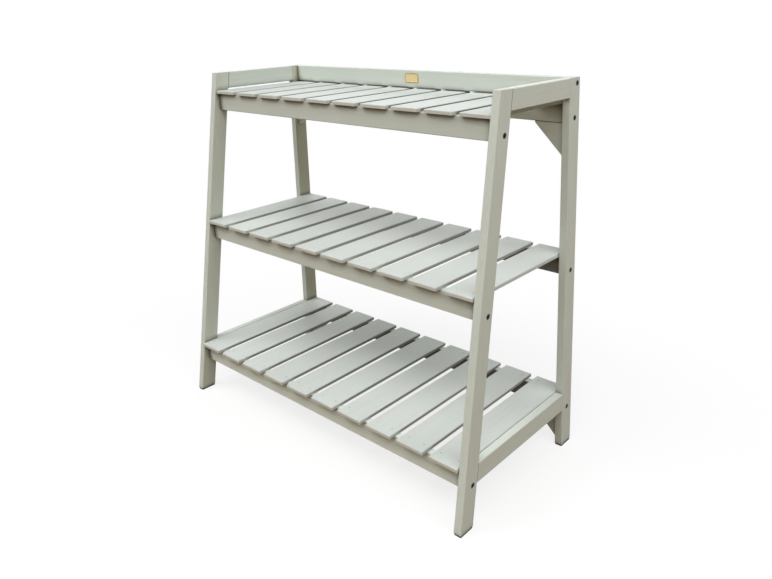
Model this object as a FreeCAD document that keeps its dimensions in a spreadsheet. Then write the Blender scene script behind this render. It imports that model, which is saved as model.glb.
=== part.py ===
import FreeCAD, Part
import os
import Sketcher

# A free-standing three-tier slatted shelf in painted timber.
# Frame: origin on the floor at the middle of the footprint, +X to the right, +Y to the rear, +Z up.

Vector = FreeCAD.Vector

TIERS = ("bottom", "middle", "top")
SLATS = 10

# Driving dimensions in millimetres.
SIZES = {
    # Outline of the whole shelf
    "overall_length": 1000.0,
    "overall_height": 942.0,
    "depth_floor": 470.0,
    "depth_top": 324.0,
    # Stock of the two end frames
    "frame_thickness": 20.0,
    "leg_width": 44.0,
    "side_rail_height": 46.0,
    "edge_radius": 1.5,
    "edge_bevel": 1.5,
    # Stub tenons of the side rails
    "tenon_length": 10.0,
    "tenon_thickness": 8.0,
    "tenon_shoulder": 8.0,
    "joint_clearance": 0.2,
    # Heights of the lower slats' upper faces
    "bottom_tier_height": 148.0,
    "middle_tier_height": 518.0,
    # Slats
    "slat_width": 79.0,
    "slat_thickness": 8.5,
    "slat_end_margin": 1.5,
    "slat_rear_inset": 1.0,
    "slat_bevel": 1.5,
    # Front ends of the slats ahead of the legs' front faces, or behind them where negative
    "bottom_slat_nose": 5.5,
    "middle_slat_nose": 3.5,
    "top_slat_nose": -3.0,
    # Long rails under the slats
    "rail_height": 48.0,
    "rail_thickness": 20.0,
    "front_rail_inset": 12.0,
    "rear_rail_inset": 11.0,
    # Board along the rear of the top tier
    "board_height": 47.6,
    "board_thickness": 20.0,
    "board_inset": 3.0,
    "board_gap": 2.4,
    # Corner gussets
    "gusset_leg": 80.0,
    "gusset_tip": 5.0,
    # Socket-head connecting screws through the legs into the ends of the rails
    "screw_edge": 13.0,
    "board_screw_edge": 14.0,
    "screw_diameter": 7.0,
    "screw_length": 60.0,
    "screw_clearance": 0.5,
    "thread_clearance": 0.1,
    "tip_clearance": 2.0,
    "head_diameter": 12.0,
    "head_height": 4.5,
    "head_clearance": 1.0,
    "head_recess": 5.0,
    "socket_width": 5.0,
    "socket_depth": 2.5,
    # Foot pads
    "pad_thickness": 4.5,
    "pad_inset": 0.5,
    "pad_bevel": 2.0,
    # Distance by which a cut starts outside the face that it enters
    "overrun": 5.0,
}

# Places worked out from the driving dimensions. Depths run rearwards from the front of the feet.
LAYOUT = {
    "half_length": "Sizes.overall_length / 2",
    "half_depth": "Sizes.depth_floor / 2",
    "inner_face": "half_length - Sizes.frame_thickness",
    # Upper faces of the slats, the top ones just under the rear board
    "bottom_level": "Sizes.bottom_tier_height",
    "middle_level": "Sizes.middle_tier_height",
    "top_level": "Sizes.overall_height - Sizes.board_height - Sizes.board_gap",
    # Raked front legs, whose level cuts are wider than the stock
    "rake": "(Sizes.depth_floor - Sizes.depth_top) / (Sizes.overall_height - Sizes.pad_thickness)",
    "leg_run": "Sizes.leg_width * sqrt(1 + rake ^ 2)",
    "front_leg_top": "Sizes.depth_floor - Sizes.depth_top",
    "front_leg_top_back": "front_leg_top + leg_run",
    "rear_leg_front": "Sizes.depth_floor - Sizes.leg_width",
    "leg_through": "Sizes.frame_thickness + Sizes.overrun",
    # Side rails between the legs, level with the frame's top and with the bottom tier
    "top_side_low": "Sizes.overall_height - Sizes.side_rail_height",
    "top_side_high": "Sizes.overall_height",
    "bottom_side_low": "bottom_level - Sizes.side_rail_height",
    "bottom_side_high": "bottom_level",
    "tenon_back": "rear_leg_front + Sizes.tenon_length",
    "tenon_start": "(Sizes.frame_thickness - Sizes.tenon_thickness) / 2",
    "mortise_start": "tenon_start - Sizes.joint_clearance",
    "mortise_end": "Sizes.frame_thickness - mortise_start",
    "mortise_depth": "Sizes.tenon_length + Sizes.joint_clearance",
    # Long rails and their connecting screws
    "rail_length": "Sizes.overall_length - 2 * Sizes.frame_thickness",
    "rail_middle": "Sizes.rail_thickness / 2",
    "rear_rail_front": "Sizes.depth_floor - Sizes.rear_rail_inset - Sizes.rail_thickness",
    "rear_screw_depth": "rear_rail_front + rail_middle",
    "screw_hole": "Sizes.screw_diameter + Sizes.screw_clearance",
    "head_hole": "Sizes.head_diameter + Sizes.head_clearance",
    "screw_seat": "half_length - Sizes.head_recess",
    "pilot_hole": "Sizes.screw_diameter + Sizes.thread_clearance",
    "pilot_depth": "Sizes.screw_length + Sizes.head_recess - Sizes.frame_thickness + Sizes.tip_clearance",
    # Rear board
    "board_front": "Sizes.depth_floor - Sizes.board_inset - Sizes.board_thickness",
    "board_middle": "Sizes.board_thickness / 2",
    "board_low": "Sizes.overall_height - Sizes.board_height",
    "board_screw_depth": "board_front + board_middle",
    "board_screw_height": "Sizes.overall_height - Sizes.board_screw_edge",
    "board_screw_rise": "Sizes.board_height - Sizes.board_screw_edge",
    # Slats
    "slat_pitch": f"(rail_length - 2 * Sizes.slat_end_margin - Sizes.slat_width) / {SLATS - 1}",
    # Gussets
    "gusset_cut": "Sizes.gusset_leg - Sizes.gusset_tip",
    # Foot pads
    "pad_far": "Sizes.frame_thickness - Sizes.pad_inset",
    "front_pad_back": "leg_run - Sizes.pad_inset",
    "rear_pad_front": "rear_leg_front + Sizes.pad_inset",
    "rear_pad_back": "Sizes.depth_floor - Sizes.pad_inset",
}

for level in ("top", "bottom"):
    LAYOUT.update({
        f"{level}_low_joint": f"rake * ({level}_side_low - Sizes.pad_thickness) + leg_run",
        f"{level}_high_joint": f"rake * ({level}_side_high - Sizes.pad_thickness) + leg_run",
        f"{level}_joint": f"({level}_low_joint + {level}_high_joint) / 2",
        f"{level}_tenon_front": f"{level}_joint - Sizes.tenon_length",
        f"{level}_tenon_low": f"{level}_side_low + Sizes.tenon_shoulder",
        f"{level}_tenon_high": f"{level}_side_high - Sizes.tenon_shoulder",
        f"{level}_mortise_low": f"{level}_tenon_low - Sizes.joint_clearance",
        f"{level}_mortise_high": f"{level}_tenon_high + Sizes.joint_clearance",
    })

for tier in TIERS:
    LAYOUT.update({
        f"{tier}_leg_face": f"rake * ({tier}_level - Sizes.pad_thickness)",
        f"{tier}_nose": f"{tier}_leg_face - Sizes.{tier}_slat_nose",
        f"{tier}_slat_length": f"Sizes.depth_floor - Sizes.slat_rear_inset - {tier}_nose",
        f"{tier}_slat_low": f"{tier}_level - Sizes.slat_thickness",
        f"{tier}_rail_low": f"{tier}_slat_low - Sizes.rail_height",
        f"{tier}_rail_front": f"{tier}_leg_face + Sizes.front_rail_inset",
        f"{tier}_screw_depth": f"{tier}_rail_front + rail_middle",
        f"{tier}_screw_height": f"{tier}_rail_low + Sizes.screw_edge",
    })

# Origin plane square to each axis, and the sign of that plane's normal along the axis
PLANES = {"X": ("YZ_Plane", 1), "Y": ("XZ_Plane", -1), "Z": ("XY_Plane", 1)}

# Two directions count as parallel, and two heights as equal, within this share
EQUAL_SHARE = 1e-6

doc = FreeCAD.newDocument("three_tier_shelf")


def add_sheet(name, cells):
    """A spreadsheet with one alias and one content on each row."""
    sheet = doc.addObject("Spreadsheet::Sheet", name)
    for row, (alias, content) in enumerate(cells.items(), 1):
        sheet.set(f"A{row}", alias)
        sheet.set(f"B{row}", content)
        sheet.setAlias(f"B{row}", alias)
    doc.recompute()
    return sheet


sizes = add_sheet("Sizes", {alias: str(value) for alias, value in SIZES.items()})
layout = add_sheet("Layout", {alias: "=" + formula for alias, formula in LAYOUT.items()})


def ref(name):
    """The expression that reads a named size or place; zero stays zero."""
    if name == 0:
        return "0"
    return f"Sizes.{name}" if name in SIZES else f"Layout.{name}"


def number(name):
    """The present value of a named size or place."""
    if name == 0:
        return 0
    return float(sizes.get(name) if name in SIZES else layout.get(name))


def locate(sketch, geometry, end, place):
    """Fixes one point of a sketch to a pair of named places, measured from the sketch's root point."""
    for kind, zero_axis, name in (("DistanceX", -2, place[0]), ("DistanceY", -1, place[1])):
        if name == 0:
            sketch.addConstraint(Sketcher.Constraint("PointOnObject", geometry, end, zero_axis))
            continue
        index = sketch.addConstraint(Sketcher.Constraint(kind, -1, 1, geometry, end, number(name)))
        sketch.setExpression(f"Constraints[{index}]", ref(name))


def draw_outline(sketch, points):
    """A closed outline of straight edges through named points; an edge's ends have the codes 1 and 2."""
    corners = [Vector(number(across), number(up), 0) for across, up in points]
    for index, corner in enumerate(corners):
        sketch.addGeometry(Part.LineSegment(corner, corners[(index + 1) % len(corners)]), False)
    for index, point in enumerate(points):
        following = (index + 1) % len(points)
        sketch.addConstraint(Sketcher.Constraint("Coincident", index, 2, following, 1))
        locate(sketch, index, 1, point)


def draw_circles(sketch, centres, diameter):
    """Circles of one named diameter about named centres; a centre has the code 3."""
    for across, up in centres:
        centre = Vector(number(across), number(up), 0)
        index = sketch.addGeometry(Part.Circle(centre, Vector(0, 0, 1), number(diameter) / 2), False)
        locate(sketch, index, 3, (across, up))
        bound = sketch.addConstraint(Sketcher.Constraint("Diameter", index, number(diameter)))
        sketch.setExpression(f"Constraints[{bound}]", ref(diameter))


def rectangle(left, low, right, high):
    """The four corners of a rectangle between named places."""
    return [(left, low), (right, low), (right, high), (left, high)]


def edges_along(shape, direction):
    """Names of the straight edges along a unit direction."""
    tangents = [edge.tangentAt(edge.FirstParameter) for edge in shape.Edges]
    along = [tangent.cross(direction).Length < EQUAL_SHARE for tangent in tangents]
    return [f"Edge{index}" for index, chosen in enumerate(along, 1) if chosen]


def edges_on_top(shape):
    """Names of the edges of the highest face."""
    top = shape.BoundBox.ZMax * (1 - EQUAL_SHARE)
    return [f"Edge{index}" for index, edge in enumerate(shape.Edges, 1) if edge.BoundBox.ZMin > top]


class Piece:
    """One sub-part: a body whose sketches lie square to the axes of its own frame."""

    def __init__(self, label):
        self.body = doc.addObject("PartDesign::Body", label)

    def sketch(self, name, axis, start):
        """An empty sketch square to an axis, at the place that an expression gives along it."""
        role, sign = PLANES[axis]
        sketch = self.body.newObject("Sketcher::SketchObject", f"{self.body.Label}_{name}_sketch")
        plane = next(feature for feature in self.body.Origin.OriginFeatures if feature.Role == role)
        sketch.AttachmentSupport = [(plane, "")]
        sketch.MapMode = "FlatFace"
        sketch.setExpression("AttachmentOffset.Base.z", f"{sign} * ({start})")
        return sketch

    def feature(self, kind, name):
        return self.body.newObject(f"PartDesign::{kind}", f"{self.body.Label}_{name}")

    def pad(self, name, axis, start, points, length):
        """Material from an outline along the positive axis."""
        sketch = self.sketch(name, axis, ref(start))
        draw_outline(sketch, points)
        pad = self.feature("Pad", name)
        pad.Profile = sketch
        pad.Reversed = PLANES[axis][1] < 0
        pad.setExpression("Length", ref(length))
        doc.recompute()

    def cut(self, name, axis, face, way, points, depth, diameter=None):
        """A pocket, or round holes of a diameter, from a face along an axis; way is 1 or -1."""
        sketch = self.sketch(name, axis, f"{ref(face)} - {way} * Sizes.overrun")
        if diameter:
            draw_circles(sketch, points, diameter)
        else:
            draw_outline(sketch, points)
        before = self.body.Shape.Volume
        pocket = self.feature("Pocket", name)
        pocket.Profile = sketch
        pocket.Reversed = PLANES[axis][1] * way > 0
        pocket.setExpression("Length", f"{ref(depth)} + Sizes.overrun")
        doc.recompute()
        if not self.body.Shape.Volume < before:
            raise RuntimeError(f"{pocket.Label} cuts nothing")

    def round_edges(self, edges, radius):
        """Rounds the named edges of the shape so far."""
        base = self.body.Tip
        fillet = self.feature("Fillet", "rounded_edges")
        fillet.Base = (base, edges)
        fillet.setExpression("Radius", ref(radius))
        doc.recompute()

    def bevel_edges(self, edges, size):
        """Bevels the named edges of the shape so far."""
        base = self.body.Tip
        chamfer = self.feature("Chamfer", "bevelled_edges")
        chamfer.Base = (base, edges)
        chamfer.setExpression("Size", ref(size))
        doc.recompute()

    def edges_along(self, direction):
        return edges_along(self.body.Shape, direction)

    def place(self, across, rearward, up):
        """Binds the place of the piece's own origin to three expressions."""
        for axis, expression in zip("xyz", (across, rearward, up)):
            self.body.setExpression(f"Placement.Base.{axis}", expression)


nodes = []


def place_in_frame(piece, side):
    """Sets a piece of an end frame, whose own depths and heights are the shelf's, at its side."""
    across = "-Layout.half_length" if side == "left" else "Layout.inner_face"
    piece.place(across, "-Layout.half_depth", "0")
    nodes.append(piece.body)


def outer_face(side):
    """Place of an end frame's outer face across its thickness, and the way inwards from it."""
    return (0, 1) if side == "left" else ("frame_thickness", -1)


def drill_leg(leg, side, centres):
    """Clearance holes through a leg, with a recess for each screw's head in its outer face."""
    face, inwards = outer_face(side)
    leg.cut("screw_holes", "X", face, inwards, centres, "leg_through", "screw_hole")
    leg.cut("head_recesses", "X", face, inwards, centres, "head_recess", "head_hole")


def mortise_points(level):
    """Outline of a mortise in the edge of a leg."""
    return rectangle("mortise_start", f"{level}_mortise_low", "mortise_end", f"{level}_mortise_high")


def front_leg(side):
    """A raked leg with level ends, mortised in its rear edge."""
    leg = Piece(f"front_leg_{side}")
    outline = [
        (0, "pad_thickness"),
        ("leg_run", "pad_thickness"),
        ("front_leg_top_back", "overall_height"),
        ("front_leg_top", "overall_height"),
    ]
    leg.pad("stock", "X", 0, outline, "frame_thickness")
    along = Vector(0, number("front_leg_top"), number("overall_height") - number("pad_thickness"))
    leg.round_edges(leg.edges_along(along.normalize()), "edge_radius")
    for level in ("top", "bottom"):
        leg.cut(f"{level}_mortise", "Y", f"{level}_joint", -1, mortise_points(level), "mortise_depth")
    drill_leg(leg, side, [(f"{tier}_screw_depth", f"{tier}_screw_height") for tier in TIERS])
    place_in_frame(leg, side)


def rear_leg(side):
    """An upright leg, mortised in its front edge."""
    leg = Piece(f"rear_leg_{side}")
    outline = rectangle("rear_leg_front", "pad_thickness", "depth_floor", "overall_height")
    leg.pad("stock", "X", 0, outline, "frame_thickness")
    leg.round_edges(leg.edges_along(Vector(0, 0, 1)), "edge_radius")
    for level in ("top", "bottom"):
        leg.cut(f"{level}_mortise", "Y", "rear_leg_front", 1, mortise_points(level), "mortise_depth")
    centres = [("rear_screw_depth", f"{tier}_screw_height") for tier in TIERS]
    drill_leg(leg, side, centres + [("board_screw_depth", "board_screw_height")])
    place_in_frame(leg, side)


def side_rail(level, side):
    """A level rail between two legs: a shoulder cut to the rake in front, a square one behind."""
    rail = Piece(f"{level}_side_rail_{side}")
    low, high = f"{level}_side_low", f"{level}_side_high"
    outline = [
        (f"{level}_low_joint", low),
        ("rear_leg_front", low),
        ("rear_leg_front", high),
        (f"{level}_high_joint", high),
    ]
    rail.pad("stock", "X", 0, outline, "frame_thickness")
    rail.bevel_edges(rail.edges_along(Vector(0, 1, 0)), "edge_bevel")
    tenons = rectangle(f"{level}_tenon_front", f"{level}_tenon_low", "tenon_back", f"{level}_tenon_high")
    rail.pad("tenons", "X", "tenon_start", tenons, "tenon_thickness")
    place_in_frame(rail, side)


def foot_pad(row, side):
    """A moulded pad with cut corners, fixed under a leg."""
    pad = Piece(f"foot_pad_{row}_{side}")
    front, back = ("pad_inset", "front_pad_back") if row == "front" else ("rear_pad_front", "rear_pad_back")
    pad.pad("plate", "Z", 0, rectangle("pad_inset", front, "pad_far", back), "pad_thickness")
    pad.bevel_edges(pad.edges_along(Vector(0, 0, 1)), "pad_bevel")
    place_in_frame(pad, side)


def long_member(label, thickness, height, middle, screw_rise):
    """A member from end frame to end frame, with a pilot hole for a screw in each end."""
    member = Piece(label)
    member.pad("stock", "X", 0, rectangle(0, 0, thickness, height), "rail_length")
    member.bevel_edges(member.edges_along(Vector(1, 0, 0)), "edge_bevel")
    centre = [(middle, screw_rise)]
    member.cut("pilot_left", "X", 0, 1, centre, "pilot_depth", "pilot_hole")
    member.cut("pilot_right", "X", "rail_length", -1, centre, "pilot_depth", "pilot_hole")
    nodes.append(member.body)
    return member


def tier_rail(row, tier):
    """A rail that carries the slats of one tier near their front or rear ends."""
    rail = long_member(f"{row}_rail_{tier}", "rail_thickness", "rail_height", "rail_middle", "screw_edge")
    front = f"{tier}_rail_front" if row == "front" else "rear_rail_front"
    rail.place("-Layout.inner_face", f"{ref(front)} - Layout.half_depth", ref(f"{tier}_rail_low"))


def back_board():
    """The board that stands over the rear ends of the top slats."""
    board = long_member("back_board", "board_thickness", "board_height", "board_middle", "board_screw_rise")
    board.place("-Layout.inner_face", "Layout.board_front - Layout.half_depth", "Layout.board_low")


def gusset(tier, side):
    """A triangular brace with blunt tips in the corner under a rear rail."""
    brace = Piece(f"gusset_{tier}_{side}")
    outline = [
        (0, 0),
        ("gusset_tip", 0),
        ("gusset_leg", "gusset_cut"),
        ("gusset_leg", "gusset_leg"),
        (0, "gusset_leg"),
    ]
    across = "-Layout.inner_face"
    slope = Vector(1, 0, 1)
    if side == "right":
        outline = [
            ("gusset_leg", 0),
            ("gusset_leg", "gusset_leg"),
            (0, "gusset_leg"),
            (0, "gusset_cut"),
            ("gusset_cut", 0),
        ]
        across = "Layout.inner_face - Sizes.gusset_leg"
        slope = Vector(-1, 0, 1)
    brace.pad("stock", "Y", 0, outline, "rail_thickness")
    brace.bevel_edges(brace.edges_along(slope.normalize()), "edge_bevel")
    rearward = "Layout.rear_rail_front - Layout.half_depth"
    brace.place(across, rearward, f"{ref(f'{tier}_rail_low')} - Sizes.gusset_leg")
    nodes.append(brace.body)


def slat(tier, index):
    """One slat with its upper edges bevelled."""
    piece = Piece(f"slat_{tier}_{index + 1:02d}")
    section = rectangle(0, 0, "slat_width", "slat_thickness")
    piece.pad("stock", "Y", 0, section, f"{tier}_slat_length")
    piece.bevel_edges(edges_on_top(piece.body.Shape), "slat_bevel")
    across = f"Sizes.slat_end_margin - Layout.inner_face + {index} * Layout.slat_pitch"
    piece.place(across, f"{ref(f'{tier}_nose')} - Layout.half_depth", ref(f"{tier}_slat_low"))
    nodes.append(piece.body)


def primitive(kind, name, **expressions):
    """A solid primitive whose properties are bound to expressions; x, y and z give its place."""
    solid = doc.addObject(f"Part::{kind}", name)
    for prop, expression in expressions.items():
        solid.setExpression(f"Placement.Base.{prop}" if prop in "xyz" else prop, expression)
    return solid


def combine(kind, name, base, tool):
    result = doc.addObject(f"Part::{kind}", name)
    result.Base = base
    result.Tool = tool
    return result


def screw_shape():
    """One screw along Z: a socket head above its seat at zero, and its shank below."""
    head = primitive("Cylinder", "head", Radius="Sizes.head_diameter / 2", Height="Sizes.head_height")
    shank = primitive(
        "Cylinder", "shank", Radius="Sizes.screw_diameter / 2", Height="Sizes.screw_length",
        z="-Sizes.screw_length")
    socket = primitive(
        "Prism", "socket", Circumradius="Sizes.socket_width / sqrt(3)",
        Height="Sizes.socket_depth + Sizes.overrun", z="Sizes.head_height - Sizes.socket_depth")
    screw = combine("Cut", "screw", combine("Fuse", "screw_blank", head, shank), socket)
    doc.recompute()
    return screw.Shape


def connecting_screws():
    """The screws of both end frames, as separate solids of one node."""
    axes = [("board_screw_depth", "board_screw_height")]
    for tier in TIERS:
        axes.append((f"{tier}_screw_depth", f"{tier}_screw_height"))
        axes.append(("rear_screw_depth", f"{tier}_screw_height"))
    shape = screw_shape()
    copies = []
    for way in (-1, 1):
        outwards = FreeCAD.Rotation(Vector(0, way, 0), 90)
        for depth, height in axes:
            rearward = number(depth) - number("half_depth")
            seat = Vector(way * number("screw_seat"), rearward, number(height))
            copies.append(shape.copy())
            copies[-1].Placement = FreeCAD.Placement(seat, outwards)
    group = doc.addObject("Part::Feature", "connecting_screws")
    group.Shape = Part.makeCompound(copies)
    nodes.append(group)


def build():
    """Every sub-part of the shelf."""
    for side in ("left", "right"):
        front_leg(side)
        rear_leg(side)
        for level in ("top", "bottom"):
            side_rail(level, side)
        for row in ("front", "rear"):
            foot_pad(row, side)
        for tier in ("top", "bottom"):
            gusset(tier, side)
    for tier in TIERS:
        for row in ("front", "rear"):
            tier_rail(row, tier)
        for index in range(SLATS):
            slat(tier, index)
    back_board()
    connecting_screws()
    doc.recompute()


def check():
    """Stops at any object that failed, and at any sub-part without a sound shape."""
    for item in doc.Objects:
        if "Invalid" in item.State or "Error" in item.State:
            raise RuntimeError(f"{item.Label} failed: {item.State}")
    for node in nodes:
        if node.Shape.isNull() or not node.Shape.isValid() or not node.Shape.Solids:
            raise RuntimeError(f"{node.Label} has no sound shape")


build()
check()
os.makedirs("parts", exist_ok=True)
for node in nodes:
    node.Shape.exportStep(f"parts/{node.Label}.step")
print(len(nodes), "sub-parts,", sum(len(node.Shape.Solids) for node in nodes), "solids")
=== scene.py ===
import math

import bpy
import numpy as np
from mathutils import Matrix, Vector


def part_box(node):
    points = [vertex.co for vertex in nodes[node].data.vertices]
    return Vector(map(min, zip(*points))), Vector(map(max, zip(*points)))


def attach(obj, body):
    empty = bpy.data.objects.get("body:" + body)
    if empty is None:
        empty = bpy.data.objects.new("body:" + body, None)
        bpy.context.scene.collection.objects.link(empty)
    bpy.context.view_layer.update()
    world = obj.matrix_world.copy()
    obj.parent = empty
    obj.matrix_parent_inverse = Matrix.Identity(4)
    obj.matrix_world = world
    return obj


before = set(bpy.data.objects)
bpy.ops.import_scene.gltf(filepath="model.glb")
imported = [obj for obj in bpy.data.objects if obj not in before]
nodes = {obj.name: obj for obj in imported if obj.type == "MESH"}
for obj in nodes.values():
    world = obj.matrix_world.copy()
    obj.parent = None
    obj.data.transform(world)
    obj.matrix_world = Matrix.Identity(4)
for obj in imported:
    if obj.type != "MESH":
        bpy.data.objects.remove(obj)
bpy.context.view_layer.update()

# A three-tier slatted shelf in painted timber. All lengths are in metres, in the shelf's own frame:
# origin on the floor at the middle of the footprint, +X to the right, +Y to the rear, +Z up.

TIERS = ("bottom", "middle", "top")
SLATS = 10
ALONG_X, ALONG_Y, ALONG_Z = range(3)

# Finishing nails: two in each end of a slat, on the middle line of the rail below
NAIL_SHARES = (0.2, 0.8)
NAIL_RADIUS = 0.0017
NAIL_PROUD = 0.00025
NAIL_SUNK = 0.0006
NAIL_STRAY = 0.0012
NAIL_SIDES = 10
NAIL_SEED = 11
# A nail head's rings: shares of its radius, and of its height for those above the sunk one
NAIL_RADII = (1.0, 1.0, 0.72, 0.3)
NAIL_RISES = (0.45, 0.9, 1.0)

# Bare plate on the middle of the rear board, and its rim's profile: inset from the outline, and height
PLATE_CENTRE = (0.003, 0.921)
PLATE_SIZE = (0.047, 0.025)
PLATE_CORNER = 0.0035
PLATE_LEAST_CORNER = 0.0003
PLATE_CORNER_STEPS = 10
PLATE_PROFILE = (
    (0.0, 0.0), (0.0, 0.0007), (0.00025, 0.001), (0.0011, 0.0011), (0.0021, 0.001),
    (0.0026, 0.0006), (0.0031, 0.0005), (0.0034, 0.0005),
)

# Colours, as linear light
PAINT = (0.635, 0.68, 0.615)
SLAT_PAINT = (0.58, 0.62, 0.59)
# Painted warm shade on the legs' inner faces
WARM_INNER_SHADE = (0.38, 0.30, 0.04)
TIMBER_TINT = (0.60, 0.52, 0.43)
END_GRAIN = (0.62, 0.60, 0.52)
# Painted shade on the slats' long sides
SIDE_SHADE = (0.17, 0.173, 0.155)
WORN_EDGE = (0.74, 0.735, 0.68)
# Darkening: dirt and painted shade in corners, gaps and joints, painted shade where parts touch, and painted
# dust and shade under the slats
CORNER_DIRT_AND_SHADE = (0.14, 0.12, 0.085)
GAP_DIRT_AND_SHADE = (0.035, 0.028, 0.02)
SHELTER_DUST_AND_SHADE = (0.09, 0.075, 0.05)
PAD_BLACK = (0.010, 0.010, 0.010)
PAD_SCUFFED = (0.03, 0.029, 0.027)
SCREW_BLACK = (0.016, 0.014, 0.012)
SCREW_RUBBED = (0.075, 0.066, 0.055)
GOLD_DEEP = (0.80, 0.62, 0.30)
GOLD_PALE = (0.90, 0.75, 0.44)
GOLD_RIM = (0.60, 0.40, 0.14)
NAIL_BARED = (0.32, 0.31, 0.28)
NAIL_DIRTY = (0.15, 0.13, 0.10)
WHITE = (1.0, 1.0, 1.0)
FLOOR_BOUNCE = (0.31, 0.22, 0.125)

# Patterns drawn out along the grain: features for each metre along it and across it, detail, roughness
GRAIN = (7.0, 330.0, 4.0, 0.6)
BRUSH_LINES = (16.0, 1100.0, 2.0, 0.5)
TIMBER_STREAKS = (4.0, 110.0, 3.0, 0.55)

# Patterns alike in all directions: features for each metre, detail
PAINT_CLOUD = (6.0, 3.0)
PAINT_PEEL = (900.0, 1.0)
END_PORES = (700.0, 3.0)
PAD_TEXTURE = (1400.0, 2.0)
PAD_SCUFFS = (90.0, 4.0)
SCREW_RUBBING = (420.0, 4.0)
GOLD_PATINA = (120.0, 3.0)
NAIL_COVER = (45.0, 1.0)
NAIL_SPECKS = (800.0, 3.0)

# The plate's brush lines: features for each metre along X, Y and Z
GOLD_LINES = (60.0, 900.0, 5200.0)
GOLD_LINE_DETAIL = 2.0

# Spread of the paint's tone over the grain, the brush lines and the cloud
TONE_SPREADS = (0.14, 0.06, 0.10)

# Height of the paint's relief in the grain, the brush lines and the peel, and the relief's strength
RELIEFS = (0.00012, 0.00005, 0.00004)
RELIEF_STRENGTH = 0.5

# Dullness of the paint's gloss, its spread over the cloud, the brush lines and end grain; the gloss itself
PAINT_ROUGHNESS = 0.56
ROUGHNESS_SPREADS = (0.10, 0.10, 0.12)
PAINT_GLOSS = 0.25

# Soft edges: their radius on the frame and on the slats
FRAME_EDGE = 0.0013
SLAT_EDGE = 0.0006
EDGE_SAMPLES = 6

# What shows in the paint: its largest share, and the range of the pattern over which it comes in
TIMBER_SHARE = 0.22
TIMBER_RANGE = (0.5, 0.72)
WORN_SHARE = 0.5
WORN_TURN = (0.03, 0.22)
WORN_RANGE = (0.35, 0.65)
END_SHARE = 0.65

# Least tone, and its spread: of end grain over its pores, and of a slat side's painted shade over the grain
END_TONES = (0.86, 0.28)
SIDE_SHADE_TONES = (0.8, 0.4)

# Part of a face's normal along an axis: the range over which the face comes to count as looking that way
LOOKS_ALONG = (0.75, 0.95)
LOOKS_UP = (0.5, 0.9)
LOOKS_FORWARD = (-0.9, -0.5)
# The same times the place along X, for the end frames' faces that look in or out
LOOKS_IN = (-0.3, -0.1)
LOOKS_OUT = (0.05, 0.2)

# Dirt and painted shade in corners and narrow gaps: reach, openness from the most darkening to none, and
# shares
DIRT_AND_SHADE_REACH = 0.022
CORNER_OPENNESS = (0.4, 0.95)
CORNER_SHARES = (0.55, 0.3)
GAP_OPENNESS = (0.1, 0.5)
GAP_SHARE = 0.9

# Painted dust and shade on the rails under the slats, and painted shade where slats touch the rails or nearly
# touch the board
SHELTER_REACH = 0.08
SHELTER_OPENNESS = (0.5, 0.85)
SHELTER_SHARE = 0.72
RAIL_CONTACT = 0.03
BOARD_CONTACT = 0.012
CONTACT_OPENNESS = (0.45, 0.95)
CONTACT_SHARE = 0.7
OPENNESS_SAMPLES = 8

# Dirt in a joint: distances from its line, shares, and how much of it paint fills on the outer faces
JOINT_LINE = (0.0004, 0.0013)
JOINT_SHARES = (0.7, 0.3)
JOINT_FILLED = 0.8

# Painted shade on the front faces of the lower rear rails, and the share of painted warm shade on the legs'
# inner faces
REAR_RAIL_SHADE = 0.75
FRONT_LEG_INNER_SHADE = 0.1
REAR_LEG_INNER_SHADE = 0.3

# Each tier's slats: tone, a painted shade that deepens on the upper tiers, share of painted shade on the
# sides, and where that shade ends behind the front end
TIER_FINISH = {
    "bottom": (1.0, 0.6, (0.010, 0.050)),
    "middle": (0.985, 0.5, (0.012, 0.060)),
    "top": (0.94, 1.0, (0.006, 0.022)),
}
# Each slat's own tone: the least, the spread, and the draws from one tier to the next
SLAT_TONES = (0.965, 0.07)
SLAT_DRAWS = 17.0
# Share of the sides' painted shade that is left at the front end
FRONT_SIDE_SHADE_SHARE = 0.15
# Painted light: rear part of a slat over which its tone rises, and the rise; the rails' tones at the bottom
# and the top
REAR_END_PART = 0.35
REAR_END_LIGHT_TONE = 1.14
RAIL_LIGHT_TONES = (1.13, 0.96)

# The pads, screws, plate and nails: range of the pattern over which the second colour comes in, the pattern's
# relief and its strength, least or middle roughness and its spread
PAD_RANGE = (0.45, 0.75)
PAD_RELIEF = (0.00015, 0.4)
PAD_ROUGHNESS = (0.62, 0.2)
SCREW_RANGE = (0.45, 0.7)
SCREW_RELIEF = (0.0001, 0.3)
SCREW_ROUGHNESS = (0.38, 0.3)
SCREW_METALLIC = 0.85
GOLD_RIM_WIDTH = (0.0022, 0.0034)
GOLD_RIM_SHARE = 0.85
GOLD_RELIEF = (0.00005, 0.35)
GOLD_ROUGHNESS = (0.30, 0.16, 0.12)
NAIL_SPECK_RANGE = (0.35, 0.65)
NAIL_COVER_RANGE = (0.42, 0.62)
NAIL_ROUGHNESS = (0.4, 0.3)

# Floor: half its side, points along a side, share of plain white near the shelf, and where it turns all white
FLOOR_HALF = 9.0
FLOOR_POINTS = 3
FLOOR_WHITE_SHARE = 0.78
FLOOR_FADE = (0.5, 1.6)

# Each soft white lamp: angle from the front to the right, angle above the floor, distance, strength in watts
LAMPS = {
    "steep_front": (0.0, 68.0, 14.0, 600.0),
    "front": (0.0, 30.0, 9.0, 65.0),
    "front_left": (-45.0, 45.0, 9.0, 312.0),
    "front_right": (45.0, 45.0, 9.0, 251.0),
    "right": (90.0, 45.0, 5.0, 93.0),
    "rear_left": (-135.0, 20.0, 6.5, 64.0),
    "rear": (180.0, 20.0, 9.0, 170.0),
}
LAMP_AIM = (0.0, 0.0, 0.5)
LAMP_FACE_SHARES = (0.58, 0.51)

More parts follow.
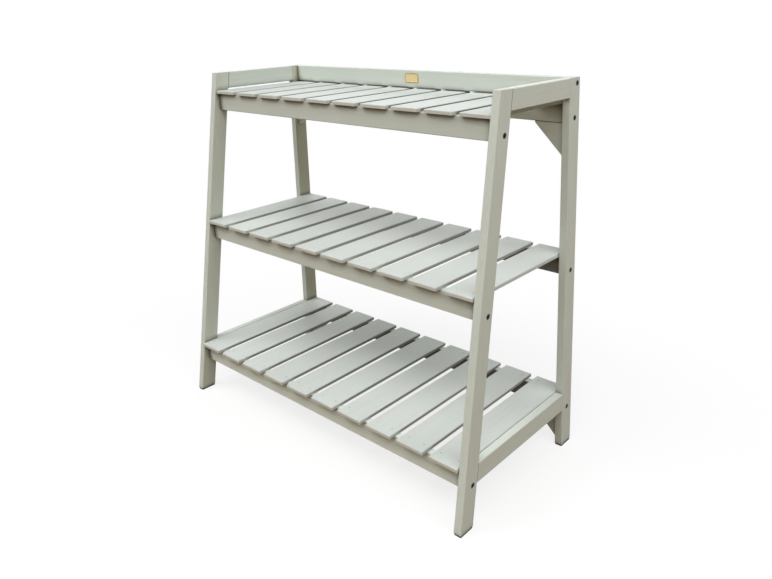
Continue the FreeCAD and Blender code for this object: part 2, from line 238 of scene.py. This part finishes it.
# Camera: sensor and lens in millimetres, shift of the picture, place, and turn in degrees
SENSOR = 36.0
LENS = 33.09
SHIFT = (-0.02827, -0.13925)
CAMERA_PLACE = (1.29545, -1.26248, 1.09856)
CAMERA_TURN = (76.4915, 1.5723, 41.4122)


class Wire:
    """An output of a finish's node tree. Arithmetic with numbers or other wires adds Math nodes."""

    def __init__(self, tree, socket=None):
        self.tree = tree
        self.socket = socket

    def node(self, kind, settings=None, inputs=None, output=0):
        """Any node: its settings are set first, then the values or wires of its inputs; gives one output."""
        made = self.tree.nodes.new(kind)
        for key, value in (settings or {}).items():
            setattr(made, key, value)
        for key, value in (inputs or {}).items():
            if isinstance(value, Wire):
                self.tree.links.new(value.socket, made.inputs[key])
            else:
                made.inputs[key].default_value = value
        return Wire(self.tree, made.outputs[output] if len(made.outputs) else None)

    def also(self, output):
        """Another output of the node that this wire leaves."""
        return Wire(self.tree, self.socket.node.outputs[output])

    def maths(self, operation, first, second=0.0):
        """A Math node on one or two values or wires."""
        return self.node("ShaderNodeMath", {"operation": operation}, {0: first, 1: second})

    def __add__(self, other):
        return self.maths("ADD", self, other)

    __radd__ = __add__

    def __sub__(self, other):
        return self.maths("SUBTRACT", self, other)

    def __rsub__(self, other):
        return self.maths("SUBTRACT", other, self)

    def __mul__(self, other):
        return self.maths("MULTIPLY", self, other)

    __rmul__ = __mul__

    def __truediv__(self, other):
        return self.maths("DIVIDE", self, other)

    def __rtruediv__(self, other):
        return self.maths("DIVIDE", other, self)

    def __abs__(self):
        return self.maths("ABSOLUTE", self)

    def __floor__(self):
        return self.maths("FLOOR", self)


def new_finish(name):
    """An empty material, and a wire from which its nodes are made."""
    material = bpy.data.materials.new(name)
    material.use_nodes = True
    material.node_tree.nodes.clear()
    return material, Wire(material.node_tree)


def step(wire, low, high, start=0.0, end=1.0):
    """A smooth change from start to end as the wire goes from low to high."""
    settings = {"interpolation_type": "SMOOTHSTEP"}
    return wire.node("ShaderNodeMapRange", settings, {0: wire, 1: low, 2: high, 3: start, 4: end})


def mixed(share, first, second):
    """The first colour where the share is 0, the second where it is 1."""
    inputs = {0: share, 6: first, 7: second}
    return share.node("ShaderNodeMix", {"data_type": "RGBA"}, inputs, output=2)


def colour(values):
    """A colour as a socket takes it, with an alpha of 1."""
    return (*values, 1.0)


def parts(vector):
    """The X, Y and Z of a vector."""
    x = vector.node("ShaderNodeSeparateXYZ", None, {0: vector})
    return x, x.also(1), x.also(2)


def toned(values, tone):
    """A colour times a tone that changes over the surface."""
    return tone.node("ShaderNodeVectorMath", {"operation": "SCALE"}, {0: values, 3: tone})


def noise(place, scales, detail, roughness=0.5):
    """Noise from 0 to 1 about 0.5, with its own number of features for each metre along X, Y and Z."""
    stretched = place.node("ShaderNodeMapping", None, {"Vector": place, "Scale": scales})
    inputs = {"Vector": stretched, "Scale": 1.0, "Detail": detail, "Roughness": roughness}
    return place.node("ShaderNodeTexNoise", None, inputs)


def drawn_out(place, axis, pattern):
    """Noise drawn out along one axis, as grain is."""
    along, across, detail, roughness = pattern
    return noise(place, [along if index == axis else across for index in range(3)], detail, roughness)


def even(place, pattern):
    """Noise alike in all directions."""
    scale, detail = pattern
    return noise(place, (scale, scale, scale), detail)


def openness(root, reach):
    """The share of its surroundings that a point sees with nothing in the way within the reach."""
    settings = {"samples": OPENNESS_SAMPLES}
    return root.node("ShaderNodeAmbientOcclusion", settings, {"Distance": reach}, output="AO")


def bump(height, strength, normal=None):
    """A normal that follows a height in metres."""
    inputs = {"Strength": strength, "Distance": 1.0, "Height": height}
    if normal:
        inputs["Normal"] = normal
    return height.node("ShaderNodeBump", None, inputs)


def finish(material, root, inputs):
    """The material, with a shader of these inputs on its surface."""
    shader = root.node("ShaderNodeBsdfPrincipled", None, inputs)
    root.node("ShaderNodeOutputMaterial", None, {"Surface": shader})
    return material


def painted_timber(name, axis, paint, edge, tone_of_each=None, side_shade=None, joint=None, contact=None,
                   sheltered=False, shaded_front=0.0, upper_faces_clear=True, inner_shade=0.0):
    """Satin paint over timber whose grain runs along one axis.

    The tone is the sum of grain and brush lines, which are noise drawn out along that axis, and of a wide
    cloud, times the tone of each piece. Faces across the axis show end grain, and edges are worn where the
    rounded normal turns from the face's own. Corners that see little of the room are darkened with dirt and
    painted shade, except on upper faces, which are kept clear, and narrow gaps are darkened more.

    Some pieces have more: the share of painted shade on a slat's sides, the distance from a joint's line,
    which holds dirt where paint has not filled it, the reach of the painted shade beside the slats, painted
    dust and shade under them, the share of painted shade on the front faces, and the share of painted warm
    shade on the inner faces.
    """
    material, root = new_finish(name)
    place = root.node("ShaderNodeTexCoord", output="Object")
    facing = place.also("Normal")
    edges = root.node("ShaderNodeBevel", {"samples": EDGE_SAMPLES}, {"Radius": edge})
    looks = parts(facing)
    side_looks, depth_looks, up_looks = looks
    in_or_out = parts(place)[0] * side_looks

    grain = drawn_out(place, axis, GRAIN)
    brush = drawn_out(place, axis, BRUSH_LINES)
    streak = drawn_out(place, axis, TIMBER_STREAKS)
    cloud = even(place, PAINT_CLOUD)
    peel = even(place, PAINT_PEEL)
    pores = even(place, END_PORES)

    by_grain, by_brush, by_cloud = TONE_SPREADS
    tone = 1.0 + by_grain * (grain - 0.5) + by_brush * (brush - 0.5) + by_cloud * (cloud - 0.5)
    if tone_of_each:
        tone = tone * tone_of_each(place)
    based = toned(paint, tone)
    based = mixed(step(streak, *TIMBER_RANGE, 0.0, TIMBER_SHARE), based, colour(TIMBER_TINT))
    # Painted warm shade on the inner faces
    if inner_shade:
        based = mixed(step(in_or_out, *LOOKS_IN, inner_shade, 0.0), based, colour(WARM_INNER_SHADE))

    end = step(abs(looks[axis]), *LOOKS_ALONG)
    least, spread = END_TONES
    based = mixed(end * END_SHARE, based, toned(END_GRAIN, least + spread * pores))
    darkened_share = 1.0
    # Painted shade on a slat's long sides
    if side_shade:
        side = step(abs(side_looks), *LOOKS_ALONG)
        shaded_side = side * side_shade(place)
        least, spread = SIDE_SHADE_TONES
        based = mixed(shaded_side * (least + spread * grain), based, colour(SIDE_SHADE))
        darkened_share = 1.0 - side + shaded_side

    both = {0: edges, 1: facing}
    agreed = root.node("ShaderNodeVectorMath", {"operation": "DOT_PRODUCT"}, both, output=1)
    worn = step(1.0 - agreed, *WORN_TURN) * step((cloud + grain) / 2, *WORN_RANGE)
    based = mixed(worn * WORN_SHARE, based, colour(WORN_EDGE))

    # Dirt and painted shade in corners and narrow gaps
    seen = openness(root, DIRT_AND_SHADE_REACH)
    held = step(up_looks, *LOOKS_UP, 1.0, 0.0 if upper_faces_clear else 1.0) * darkened_share
    least, spread = CORNER_SHARES
    dirt_and_shade = step(seen, *CORNER_OPENNESS, 1.0, 0.0) * held * (least + spread * cloud)
    based = mixed(dirt_and_shade, based, colour(CORNER_DIRT_AND_SHADE))
    based = mixed(step(seen, *GAP_OPENNESS, GAP_SHARE, 0.0) * darkened_share, based, colour(GAP_DIRT_AND_SHADE))
    # Painted dust and shade on faces under the slats
    if sheltered:
        dust_and_shade = step(openness(root, SHELTER_REACH), *SHELTER_OPENNESS, SHELTER_SHARE, 0.0)
        based = mixed(dust_and_shade * held, based, colour(SHELTER_DUST_AND_SHADE))
    # Painted shade on the faces that look forward
    if shaded_front:
        based = mixed(step(depth_looks, *LOOKS_FORWARD, shaded_front, 0.0), based, colour(GAP_DIRT_AND_SHADE))
    # Painted shade where pieces touch or nearly touch
    if contact:
        contact_shade = step(openness(root, contact), *CONTACT_OPENNESS, CONTACT_SHARE, 0.0)
        based = mixed(contact_shade * held, based, colour(GAP_DIRT_AND_SHADE))
    if joint:
        line = step(joint(place), *JOINT_LINE, 1.0, 0.0)
        unfilled = step(in_or_out, *LOOKS_OUT, 1.0, 1.0 - JOINT_FILLED)
        least, spread = JOINT_SHARES
        based = mixed(line * unfilled * (least + spread * cloud), based, colour(CORNER_DIRT_AND_SHADE))

    by_grain, by_brush, by_peel = RELIEFS
    normal = bump(by_grain * grain + by_brush * brush + by_peel * peel, RELIEF_STRENGTH, edges)
    by_cloud, by_brush, by_end = ROUGHNESS_SPREADS
    roughness = PAINT_ROUGHNESS + by_cloud * (cloud - 0.5) + by_brush * (brush - 0.5) + by_end * end
    inputs = {"Base Color": based, "Roughness": roughness, "Normal": normal}
    inputs["Specular IOR Level"] = PAINT_GLOSS
    return finish(material, root, inputs)


def slat_paint(tier, tier_tone, side_shade_share, side_shade_end):
    """Paint for one tier's slats: each has a tone of its own, and painted shade on their sides but for two
    places.

    The tone is drawn from the slat's place in the tier, and rises towards the rear end as painted light. The
    painted shade is mostly left off the sides near the front ends, and off those that look at the end frames.
    """
    low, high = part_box(f"slat_{tier}_01")
    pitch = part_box(f"slat_{tier}_02")[0].x - low.x
    gap = pitch - (high.x - low.x)

    def tone_of_each(place):
        x, y, _ = parts(place)
        index = math.floor((x - (low.x - gap / 2)) / pitch)
        draw = index + SLAT_DRAWS * TIERS.index(tier) + 0.5
        drawn = draw.node("ShaderNodeTexWhiteNoise", {"noise_dimensions": "1D"}, {"W": draw})
        least, spread = SLAT_TONES
        # Painted light: the tone rises towards the rear end
        rear_end_light = step(y, high.y - REAR_END_PART * (high.y - low.y), high.y, 1.0, REAR_END_LIGHT_TONE)
        # Painted shade: the tier's tone is deeper on the upper tiers
        return tier_tone * (least + spread * drawn) * rear_end_light

    # Painted shade on the long sides, mostly left off near the front end and at the tier's outer sides
    def side_shade(place):
        x, y, _ = parts(place)
        behind_front = step(y - low.y, *side_shade_end, FRONT_SIDE_SHADE_SHARE * side_shade_share, side_shade_share)
        return behind_front * step(abs(x), -low.x - gap / 2, -low.x - gap / 4, 1.0, 0.0)

    return painted_timber(f"slat_paint_{tier}", ALONG_Y, SLAT_PAINT, SLAT_EDGE, tone_of_each, side_shade)


def rail_light_tone(place):
    """Painted light: the lower rails are paler than the upper ones."""
    lowest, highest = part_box("front_rail_bottom")[0].z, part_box("front_rail_top")[1].z
    height = parts(place)[2]
    return step(height, lowest, highest, *RAIL_LIGHT_TONES)


def shoulder_joint(place):
    """Distance from a side rail's shoulders: the upright line of the rear leg and the raked one of the front.

    Along Y, the front leg's rear face moves from its foot to its top by the leg's reach less one leg width.
    """
    foot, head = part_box("front_leg_right")
    rear_low, rear_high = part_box("rear_leg_right")
    width = rear_high.y - rear_low.y
    rake = (head.y - foot.y - width) / (head.z - foot.z)
    _, y, z = parts(place)
    at_front = abs(y - (foot.y + width + rake * (z - foot.z)))
    return y.maths("MINIMUM", at_front, abs(y - rear_low.y))


def gusset_joint(place):
    """Distance from the lines on which the gussets meet the rails above them."""
    height = parts(place)[2]
    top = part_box("gusset_top_right")[1].z
    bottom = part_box("gusset_bottom_right")[1].z
    return height.maths("MINIMUM", abs(height - top), abs(height - bottom))


def foot_plastic():
    """Matt black moulded plastic with a fine dull texture."""
    material, root = new_finish("foot_plastic")
    place = root.node("ShaderNodeTexCoord", output="Object")
    scuff = even(place, PAD_SCUFFS)
    based = mixed(step(scuff, *PAD_RANGE), colour(PAD_BLACK), colour(PAD_SCUFFED))
    relief, strength = PAD_RELIEF
    normal = bump(relief * even(place, PAD_TEXTURE), strength)
    middle, spread = PAD_ROUGHNESS
    roughness = middle + spread * (scuff - 0.5)
    return finish(material, root, {"Base Color": based, "Roughness": roughness, "Normal": normal})


def blackened_steel():
    """Blackened steel with faint rubbing, as on socket-head screws."""
    material, root = new_finish("blackened_steel")
    place = root.node("ShaderNodeTexCoord", output="Object")
    rub = even(place, SCREW_RUBBING)
    based = mixed(step(rub, *SCREW_RANGE), colour(SCREW_BLACK), colour(SCREW_RUBBED))
    relief, strength = SCREW_RELIEF
    normal = bump(relief * rub, strength)
    middle, spread = SCREW_ROUGHNESS
    roughness = middle + spread * (rub - 0.5)
    inputs = {"Base Color": based, "Roughness": roughness, "Metallic": SCREW_METALLIC, "Normal": normal}
    return finish(material, root, inputs)


def brushed_gold():
    """Lacquered gold sheet, brushed along its length, deeper in colour towards its rim."""
    material, root = new_finish("brushed_gold")
    place = root.node("ShaderNodeTexCoord", output="Object")
    shift = (-PLATE_CENTRE[0], 0.0, -PLATE_CENTRE[1])
    x, _, z = parts(root.node("ShaderNodeMapping", None, {"Vector": place, "Location": shift}))
    inset = root.maths("MINIMUM", PLATE_SIZE[0] / 2 - abs(x), PLATE_SIZE[1] / 2 - abs(z))
    rim = step(inset, *GOLD_RIM_WIDTH, GOLD_RIM_SHARE, 0.0)
    lines = noise(place, GOLD_LINES, GOLD_LINE_DETAIL)
    patina = even(place, GOLD_PATINA)
    based = mixed(rim, mixed(patina, colour(GOLD_DEEP), colour(GOLD_PALE)), colour(GOLD_RIM))
    relief, strength = GOLD_RELIEF
    normal = bump(relief * lines, strength)
    middle, by_lines, by_patina = GOLD_ROUGHNESS
    roughness = middle + by_lines * (lines - 0.5) + by_patina * (patina - 0.5)
    inputs = {"Base Color": based, "Roughness": roughness, "Metallic": 1.0, "Normal": normal}
    return finish(material, root, inputs)


def painted_nail():
    """A nail head under thin paint: some heads are covered, and others have caught dirt."""
    material, root = new_finish("painted_nail")
    place = root.node("ShaderNodeTexCoord", output="Object")
    specks = even(place, NAIL_SPECKS)
    bared = mixed(step(specks, *NAIL_SPECK_RANGE), colour(NAIL_BARED), colour(NAIL_DIRTY))
    based = mixed(step(even(place, NAIL_COVER), *NAIL_COVER_RANGE), bared, colour(SLAT_PAINT))
    least, spread = NAIL_ROUGHNESS
    return finish(material, root, {"Base Color": based, "Roughness": least + spread * specks})


def add_piece(name, points, faces, material):
    """A mesh object at the origin, with its place in its mesh."""
    mesh = bpy.data.meshes.new(name)
    mesh.from_pydata(points.reshape(-1, 3).tolist(), [], faces)
    mesh.validate()
    mesh.materials.append(material)
    piece = bpy.data.objects.new(name, mesh)
    bpy.context.scene.collection.objects.link(piece)
    return piece


def closed_rings(rings, around, start=0):
    """Quads between rings of points that close on themselves, with caps on the last ring and the first."""
    ring, corner = np.meshgrid(np.arange(rings - 1), np.arange(around), indexing="ij")
    a = ring * around + corner
    b = ring * around + (corner + 1) % around
    quads = np.stack([a, b, b + around, a + around], axis=-1) + start
    last = start + (rings - 1) * around
    caps = [list(range(last, last + around)), list(range(start, start + around))[::-1]]
    return quads.reshape(-1, 4).tolist() + caps


def nail_heads(tier, material):
    """Low domes of revolution: a profile of radius and height turned about each nail's axis.

    The lowest ring is sunk in the slat, and the nails stray a little from their places.
    """
    rng = np.random.default_rng(NAIL_SEED + TIERS.index(tier))
    centres = []
    for index in range(SLATS):
        low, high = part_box(f"slat_{tier}_{index + 1:02d}")
        for row in ("front", "rear"):
            rail_low, rail_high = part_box(f"{row}_rail_{tier}")
            rail_middle = (rail_low.y + rail_high.y) / 2
            for share in NAIL_SHARES:
                centres.append((low.x + share * (high.x - low.x), rail_middle, high.z))
    centres = np.array(centres)
    centres[:, :2] += rng.uniform(-NAIL_STRAY, NAIL_STRAY, (len(centres), 2))
    radius = NAIL_RADIUS * np.array(NAIL_RADII)
    height = np.append(-NAIL_SUNK, NAIL_PROUD * np.array(NAIL_RISES))
    angle = np.arange(NAIL_SIDES) * 2 * np.pi / NAIL_SIDES
    head = np.stack([
        radius[:, None] * np.cos(angle),
        radius[:, None] * np.sin(angle),
        np.broadcast_to(height[:, None], (len(radius), NAIL_SIDES)),
    ], axis=-1)
    points = centres[:, None, None, :] + head
    faces = []
    for index in range(len(centres)):
        faces += closed_rings(len(radius), NAIL_SIDES, index * len(radius) * NAIL_SIDES)
    heads = add_piece(f"slat_nails_{tier}", points, faces, material)
    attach(heads, "root")


def rounded_outline(width, height, corner):
    """Points round a rectangle with quarter circles at its corners, anticlockwise."""
    turn = np.linspace(0, np.pi / 2, PLATE_CORNER_STEPS)
    angle = np.concatenate([turn + quarter * np.pi / 2 for quarter in range(4)])
    sign_x = np.repeat([1, -1, -1, 1], PLATE_CORNER_STEPS)
    sign_z = np.repeat([1, 1, -1, -1], PLATE_CORNER_STEPS)
    x = sign_x * (width / 2 - corner) + corner * np.cos(angle)
    z = sign_z * (height / 2 - corner) + corner * np.sin(angle)
    return x, z


def gold_plate(material):
    """A sheet with a raised rim: its rounded outline is drawn in and raised ring by ring along a profile."""
    board_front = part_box("back_board")[0].y
    rings = []
    for inset, raised in PLATE_PROFILE:
        corner = max(PLATE_CORNER - inset, PLATE_LEAST_CORNER)
        x, z = rounded_outline(PLATE_SIZE[0] - 2 * inset, PLATE_SIZE[1] - 2 * inset, corner)
        y = np.full_like(x, board_front - raised)
        rings.append(np.stack([x + PLATE_CENTRE[0], y, z + PLATE_CENTRE[1]], axis=-1))
    points = np.array(rings)
    faces = closed_rings(len(PLATE_PROFILE), points.shape[1])
    plate = add_piece("gold_plate", points, faces, material)
    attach(plate, "root")


# Finishes on the CAD nodes

front_leg_paint = painted_timber("frame_paint_front_leg", ALONG_Z, PAINT, FRAME_EDGE,
                                 inner_shade=FRONT_LEG_INNER_SHADE)
rear_leg_paint = painted_timber("frame_paint_rear_leg", ALONG_Z, PAINT, FRAME_EDGE,
                                inner_shade=REAR_LEG_INNER_SHADE)
board_paint = painted_timber("frame_paint_board", ALONG_X, PAINT, FRAME_EDGE, contact=BOARD_CONTACT)
rail_paint = painted_timber("frame_paint_rail", ALONG_X, PAINT, FRAME_EDGE, rail_light_tone,
                            contact=RAIL_CONTACT, sheltered=True)
roofed_paint = painted_timber("frame_paint_roofed", ALONG_X, PAINT, FRAME_EDGE,
                              contact=RAIL_CONTACT, sheltered=True, upper_faces_clear=False)
shaded_paint = painted_timber("frame_paint_shaded", ALONG_X, PAINT, FRAME_EDGE,
                              contact=RAIL_CONTACT, sheltered=True, shaded_front=REAR_RAIL_SHADE)
side_paint = painted_timber("frame_paint_side", ALONG_Y, PAINT, FRAME_EDGE, joint=shoulder_joint)
gusset_paint = painted_timber("frame_paint_gusset", ALONG_X, PAINT, FRAME_EDGE, joint=gusset_joint)

# What the names of the nodes start with, and the finish of each
finish_of = {
    "front_leg": front_leg_paint,
    "rear_leg": rear_leg_paint,
    "top_side_rail": side_paint,
    "bottom_side_rail": side_paint,
    "front_rail": rail_paint,
    "rear_rail_bottom": shaded_paint,
    "rear_rail_middle": shaded_paint,
    "rear_rail_top": roofed_paint,
    "back_board": board_paint,
    "gusset": gusset_paint,
    "foot_pad": foot_plastic(),
    "connecting_screws": blackened_steel(),
}
for tier in TIERS:
    finish_of[f"slat_{tier}"] = slat_paint(tier, *TIER_FINISH[tier])

for name, node in nodes.items():
    match = next(start for start in finish_of if name.startswith(start))
    node.material_slots[0].material = finish_of[match]

nail_finish = painted_nail()
for tier in TIERS:
    nail_heads(tier, nail_finish)
gold_plate(brushed_gold())


# Studio: a pale floor, soft lamps and a white backdrop


def seen_directly(root):
    """1 for what the camera, gloss or glass shows, 0 for light that the surface passes on."""
    path = root.node("ShaderNodeLightPath", output="Is Camera Ray")
    either = root.maths("MAXIMUM", path, path.also("Is Glossy Ray"))
    return root.maths("MAXIMUM", either, path.also("Is Transmission Ray"))


def floor():
    """A flat sheet under the shelf: white to look at but for the shadow, duller in the light it returns."""
    material, root = new_finish("floor_sheet")
    shown = seen_directly(root)
    white = root.node("ShaderNodeEmission", None, {"Color": colour(WHITE), "Strength": 1.0})
    pale = root.node("ShaderNodeBsdfDiffuse", None, {"Color": colour(WHITE)})
    dull = root.node("ShaderNodeBsdfDiffuse", None, {"Color": colour(FLOOR_BOUNCE)})
    place = root.node("ShaderNodeTexCoord", output="Object")
    away = root.node("ShaderNodeVectorMath", {"operation": "LENGTH"}, {0: place}, output=1)
    share = step(away, *FLOOR_FADE, FLOOR_WHITE_SHARE, 1.0)
    looked_at = root.node("ShaderNodeMixShader", None, {0: share, 1: pale, 2: white})
    both = root.node("ShaderNodeMixShader", None, {0: shown, 1: dull, 2: looked_at})
    root.node("ShaderNodeOutputMaterial", None, {"Surface": both})
    across = np.linspace(-FLOOR_HALF, FLOOR_HALF, FLOOR_POINTS)
    x, y = np.meshgrid(across, across)
    points = np.stack([x, y, np.zeros_like(x)], axis=-1)
    grid = np.arange(FLOOR_POINTS ** 2).reshape(FLOOR_POINTS, FLOOR_POINTS)
    faces = np.stack([grid[:-1, :-1], grid[:-1, 1:], grid[1:, 1:], grid[1:, :-1]], axis=-1)
    add_piece("floor", points, faces.reshape(-1, 4).tolist(), material)


def backdrop():
    """No light of its own, and plain white wherever it is looked at."""
    world = bpy.data.worlds.new("studio")
    bpy.context.scene.world = world
    world.use_nodes = True
    world.node_tree.nodes.clear()
    root = Wire(world.node_tree)
    inputs = {"Color": colour(WHITE), "Strength": seen_directly(root)}
    root.node("ShaderNodeOutputWorld", None, {"Surface": root.node("ShaderNodeBackground", None, inputs)})


def lamp(name, turn, rise, distance, watts):
    """A soft rectangular lamp that looks at the shelf from its two angles."""
    data = bpy.data.lights.new(name, "AREA")
    data.shape = "RECTANGLE"
    data.size, data.size_y = (share * distance for share in LAMP_FACE_SHARES)
    data.energy = watts
    turn, rise = math.radians(turn), math.radians(rise)
    outward = Vector((math.cos(rise) * math.sin(turn), -math.cos(rise) * math.cos(turn), math.sin(rise)))
    made = bpy.data.objects.new(name, data)
    made.location = Vector(LAMP_AIM) + distance * outward
    made.rotation_euler = (-outward).to_track_quat("-Z", "Y").to_euler()
    made.visible_camera = False
    bpy.context.scene.collection.objects.link(made)


def camera():
    """The photograph's viewpoint, for a picture of 772 by 579 pixels."""
    data = bpy.data.cameras.new("camera")
    data.sensor_width = SENSOR
    data.lens = LENS
    data.shift_x, data.shift_y = SHIFT
    made = bpy.data.objects.new("camera", data)
    made.location = CAMERA_PLACE
    made.rotation_euler = [math.radians(angle) for angle in CAMERA_TURN]
    bpy.context.scene.collection.objects.link(made)
    bpy.context.scene.camera = made


floor()
backdrop()
for lamp_name, setting in LAMPS.items():
    lamp(lamp_name, *setting)
camera()
bpy.context.scene.view_settings.view_transform = "Standard"
